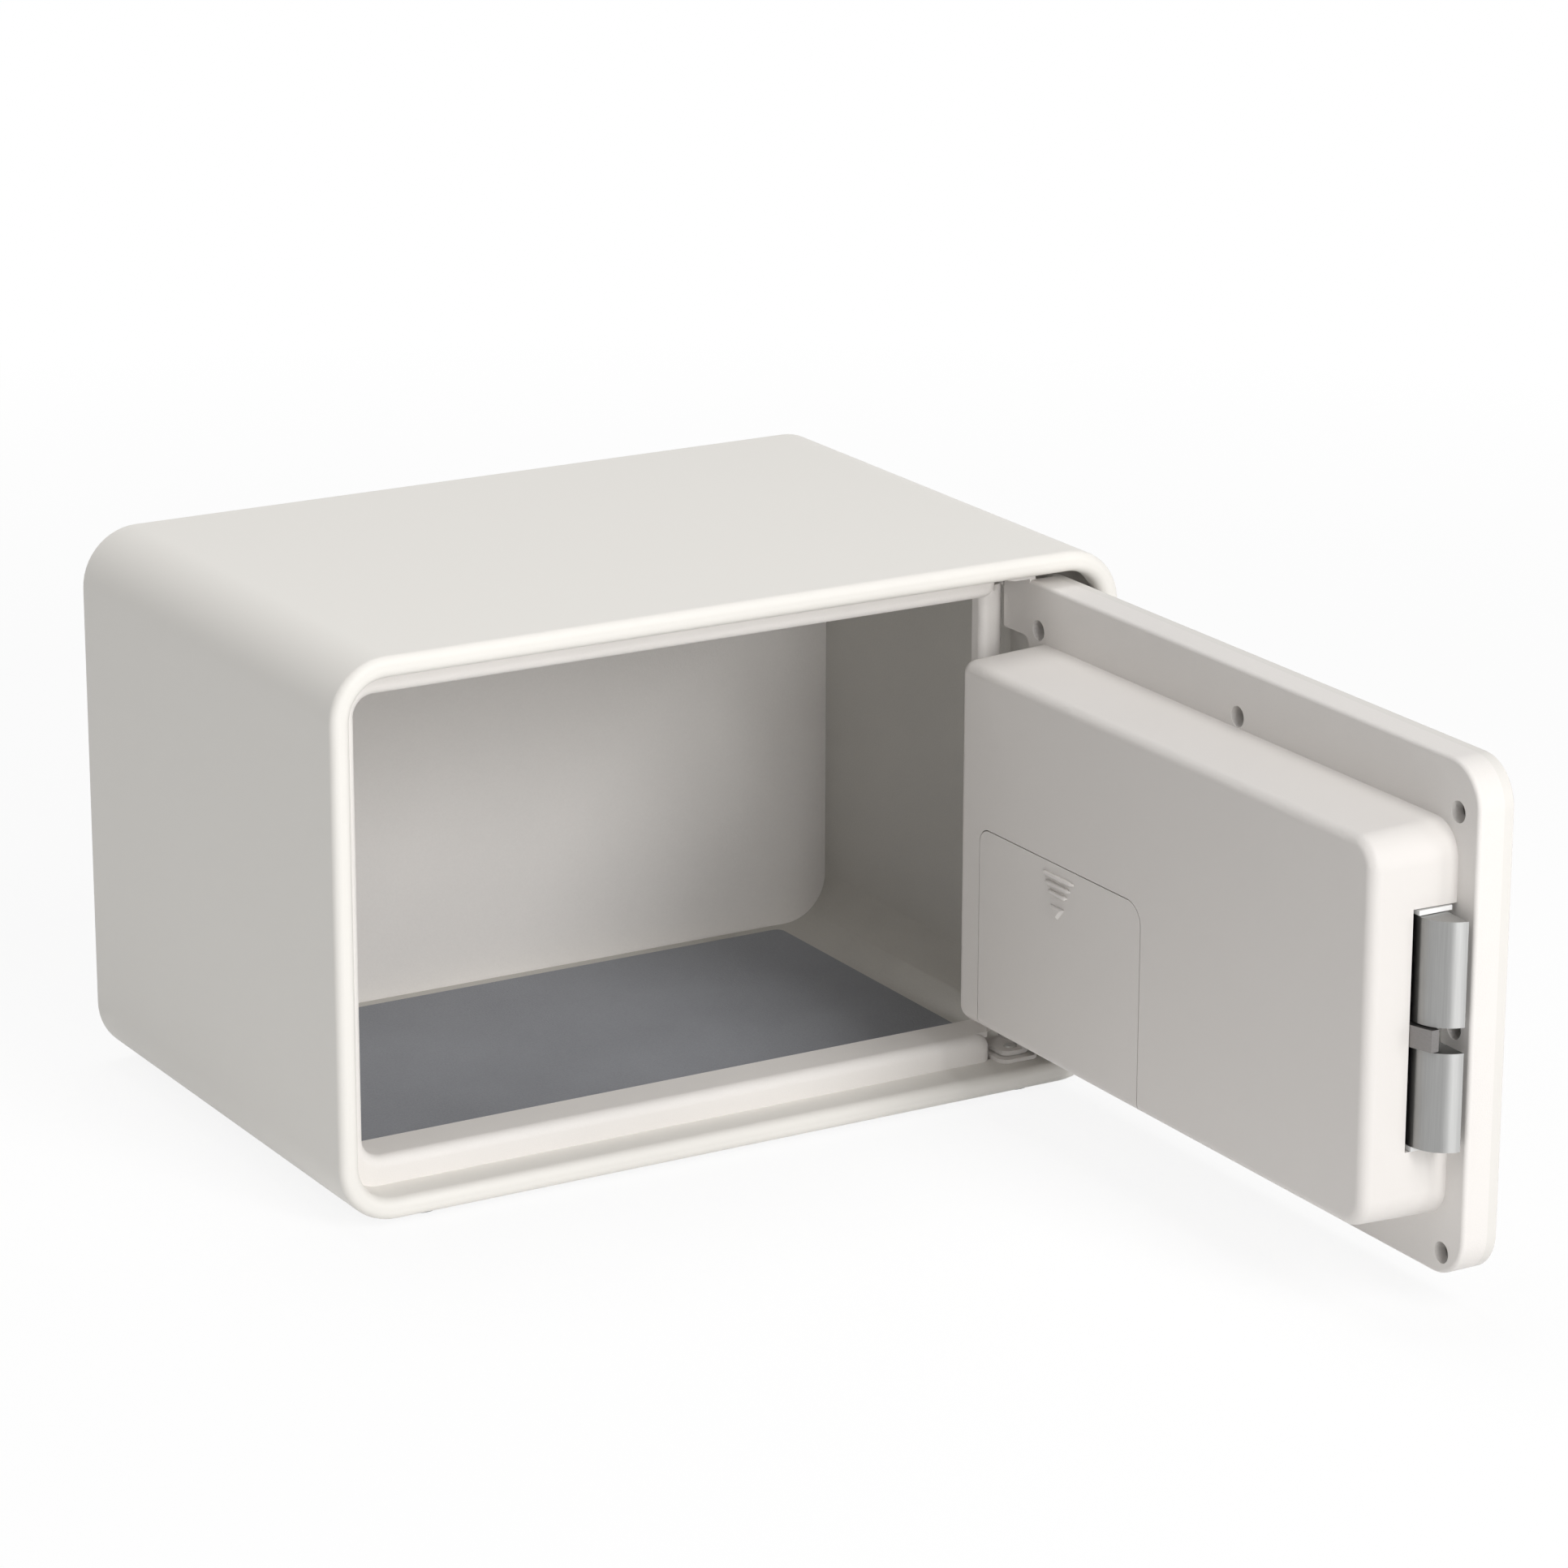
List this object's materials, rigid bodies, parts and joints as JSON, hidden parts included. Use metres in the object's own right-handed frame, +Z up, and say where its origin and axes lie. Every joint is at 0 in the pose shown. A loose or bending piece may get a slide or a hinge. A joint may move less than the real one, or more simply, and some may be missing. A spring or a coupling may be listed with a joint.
{
  "type": "electronic safe",
  "caption": "Small electronic safe with a hinged door, motor-driven slam bolt, keypad on the outer face, emergency key lock and a battery compartment inside the lock cover.",
  "frame": {"origin": "middle of the two floor bolt holes, on the underside of the steel base", "axes": "+Z up, +Y from the doorway to the back, +X to the right seen from the front"},
  "size_m": [0.31, 0.4518, 0.2],
  "materials": {
    "body_paint": "smooth satin off-white powder coat",
    "textured_paint": "fine-grained matte off-white powder coat",
    "zinc_steel": "bright zinc-plated steel",
    "bolt_steel": "vertically brushed bright steel",
    "trigger_steel": "dark satin steel",
    "gear_brass": "machined brass",
    "felt_mat": "slate grey felt-like mat",
    "foot_rubber": "black rubber",
    "cover_plastic": "warm light grey moulded plastic, fine satin",
    "guide_plastic": "white acetal",
    "keypad_plastic": "dark grey moulded plastic",
    "key_plastic": "light grey key caps with plain dark figures",
    "lens_plastic": "clear red lamp window",
    "silicone": "grey silicone",
    "circuit_board": "green circuit board",
    "cell_jacket": "plain dark cell jacket",
    "cable_plastic": "grey flat cable"
  },
  "bodies": {
    "cabinet": {"body_shell": "body_paint", "back_plate": "body_paint", "front_frame": "textured_paint", "hinge_pillar": "textured_paint", "upper_hinge_bracket": "textured_paint", "lower_hinge_bracket": "textured_paint", "hinge_pins": "zinc_steel", "hinge_washers": "zinc_steel", "floor_mat": "felt_mat", "rubber_feet": "foot_rubber"},
    "door": {"door_front_panel": "body_paint", "door_inner_pan": "textured_paint", "door_screws": "zinc_steel", "keypad_bezel": "keypad_plastic", "status_lens": "lens_plastic", "keypad_mat": "silicone", "keypad_board": "circuit_board", "key_cylinder": "zinc_steel", "keyhole_pivot_pin": "zinc_steel", "lock_chassis": "zinc_steel", "bolt_guide": "guide_plastic", "gear_motor": "zinc_steel", "micro_switch": "keypad_plastic", "main_circuit_board": "circuit_board", "ribbon_cable": "cable_plastic", "lock_cover": "cover_plastic", "cover_screws": "zinc_steel", "battery_tray": "keypad_plastic", "battery_contacts": "zinc_steel", "battery_cells": "cell_jacket", "bolt_spring": "zinc_steel", "trigger_spring": "zinc_steel"},
    "lock_bolt": {"lock_bolt": "bolt_steel"},
    "key_plug": {"key_plug": "gear_brass", "plug_gear": "gear_brass"},
    "motor_pinion": {"motor_pinion": "gear_brass"},
    "trigger": {"trigger": "trigger_steel"},
    "battery_cover": {"battery_cover": "cover_plastic"},
    "keyhole_cover": {"keyhole_cover": "body_paint"},
    "key_1": {"key_1": "key_plastic"},
    "key_2": {"key_2": "key_plastic"},
    "key_3": {"key_3": "key_plastic"},
    "key_4": {"key_4": "key_plastic"},
    "key_5": {"key_5": "key_plastic"},
    "key_6": {"key_6": "key_plastic"},
    "key_7": {"key_7": "key_plastic"},
    "key_8": {"key_8": "key_plastic"},
    "key_9": {"key_9": "key_plastic"},
    "key_star": {"key_star": "key_plastic"},
    "key_0": {"key_0": "key_plastic"},
    "key_hash": {"key_hash": "key_plastic"}
  },
  "joints": [
    {"name": "door_hinge", "type": "hinge", "parent": "cabinet", "child": "door", "pos_m": [0.122, -0.0834, 0.099], "axis": [0, 0, 1], "range_deg": [-90, 10]},
    {"name": "bolt_slide", "type": "slide", "parent": "door", "child": "lock_bolt", "axis": [0, 1, 0], "range_m": [0, 0.0118], "stiffness_N_per_m": 200, "springref_m": -0.02, "deforming": ["bolt_spring"]},
    {"name": "plug_turn", "type": "hinge", "parent": "door", "child": "key_plug", "pos_m": [0.12, -0.3004, 0.1195], "axis": [1, 0, 0], "range_deg": [0, 90.5]},
    {"name": "motor_pinion_spin", "type": "hinge", "parent": "door", "child": "motor_pinion", "pos_m": [0.12, -0.3004, 0.133], "axis": [1, 0, 0], "range_deg": [-113, 0]},
    {"name": "trigger_slide", "type": "slide", "parent": "door", "child": "trigger", "axis": [0, 1, 0], "range_m": [0, 0.007], "stiffness_N_per_m": 120, "springref_m": -0.012, "deforming": ["trigger_spring"]},
    {"name": "battery_cover_slide", "type": "slide", "parent": "door", "child": "battery_cover", "axis": [0, 0, -1], "range_m": [0, 0.012]},
    {"name": "keyhole_cover_swing", "type": "hinge", "parent": "door", "child": "keyhole_cover", "pos_m": [0.1412, -0.3004, 0.137], "axis": [1, 0, 0], "range_deg": [-150, 150]},
    {"name": "key_1_press", "type": "slide", "parent": "door", "child": "key_1", "axis": [-1, 0, 0], "range_m": [0, 0.0008], "stiffness_N_per_m": 600, "springref_m": -0.001},
    {"name": "key_2_press", "type": "slide", "parent": "door", "child": "key_2", "axis": [-1, 0, 0], "range_m": [0, 0.0008], "stiffness_N_per_m": 600, "springref_m": -0.001},
    {"name": "key_3_press", "type": "slide", "parent": "door", "child": "key_3", "axis": [-1, 0, 0], "range_m": [0, 0.0008], "stiffness_N_per_m": 600, "springref_m": -0.001},
    {"name": "key_4_press", "type": "slide", "parent": "door", "child": "key_4", "axis": [-1, 0, 0], "range_m": [0, 0.0008], "stiffness_N_per_m": 600, "springref_m": -0.001},
    {"name": "key_5_press", "type": "slide", "parent": "door", "child": "key_5", "axis": [-1, 0, 0], "range_m": [0, 0.0008], "stiffness_N_per_m": 600, "springref_m": -0.001},
    {"name": "key_6_press", "type": "slide", "parent": "door", "child": "key_6", "axis": [-1, 0, 0], "range_m": [0, 0.0008], "stiffness_N_per_m": 600, "springref_m": -0.001},
    {"name": "key_7_press", "type": "slide", "parent": "door", "child": "key_7", "axis": [-1, 0, 0], "range_m": [0, 0.0008], "stiffness_N_per_m": 600, "springref_m": -0.001},
    {"name": "key_8_press", "type": "slide", "parent": "door", "child": "key_8", "axis": [-1, 0, 0], "range_m": [0, 0.0008], "stiffness_N_per_m": 600, "springref_m": -0.001},
    {"name": "key_9_press", "type": "slide", "parent": "door", "child": "key_9", "axis": [-1, 0, 0], "range_m": [0, 0.0008], "stiffness_N_per_m": 600, "springref_m": -0.001},
    {"name": "key_star_press", "type": "slide", "parent": "door", "child": "key_star", "axis": [-1, 0, 0], "range_m": [0, 0.0008], "stiffness_N_per_m": 600, "springref_m": -0.001},
    {"name": "key_0_press", "type": "slide", "parent": "door", "child": "key_0", "axis": [-1, 0, 0], "range_m": [0, 0.0008], "stiffness_N_per_m": 600, "springref_m": -0.001},
    {"name": "key_hash_press", "type": "slide", "parent": "door", "child": "key_hash", "axis": [-1, 0, 0], "range_m": [0, 0.0008], "stiffness_N_per_m": 600, "springref_m": -0.001}
  ],
  "couplings": [
    {"joint": "plug_turn", "follows": "bolt_slide", "rad_per_m": 133.33},
    {"joint": "motor_pinion_spin", "follows": "bolt_slide", "rad_per_m": -166.67}
  ]
}
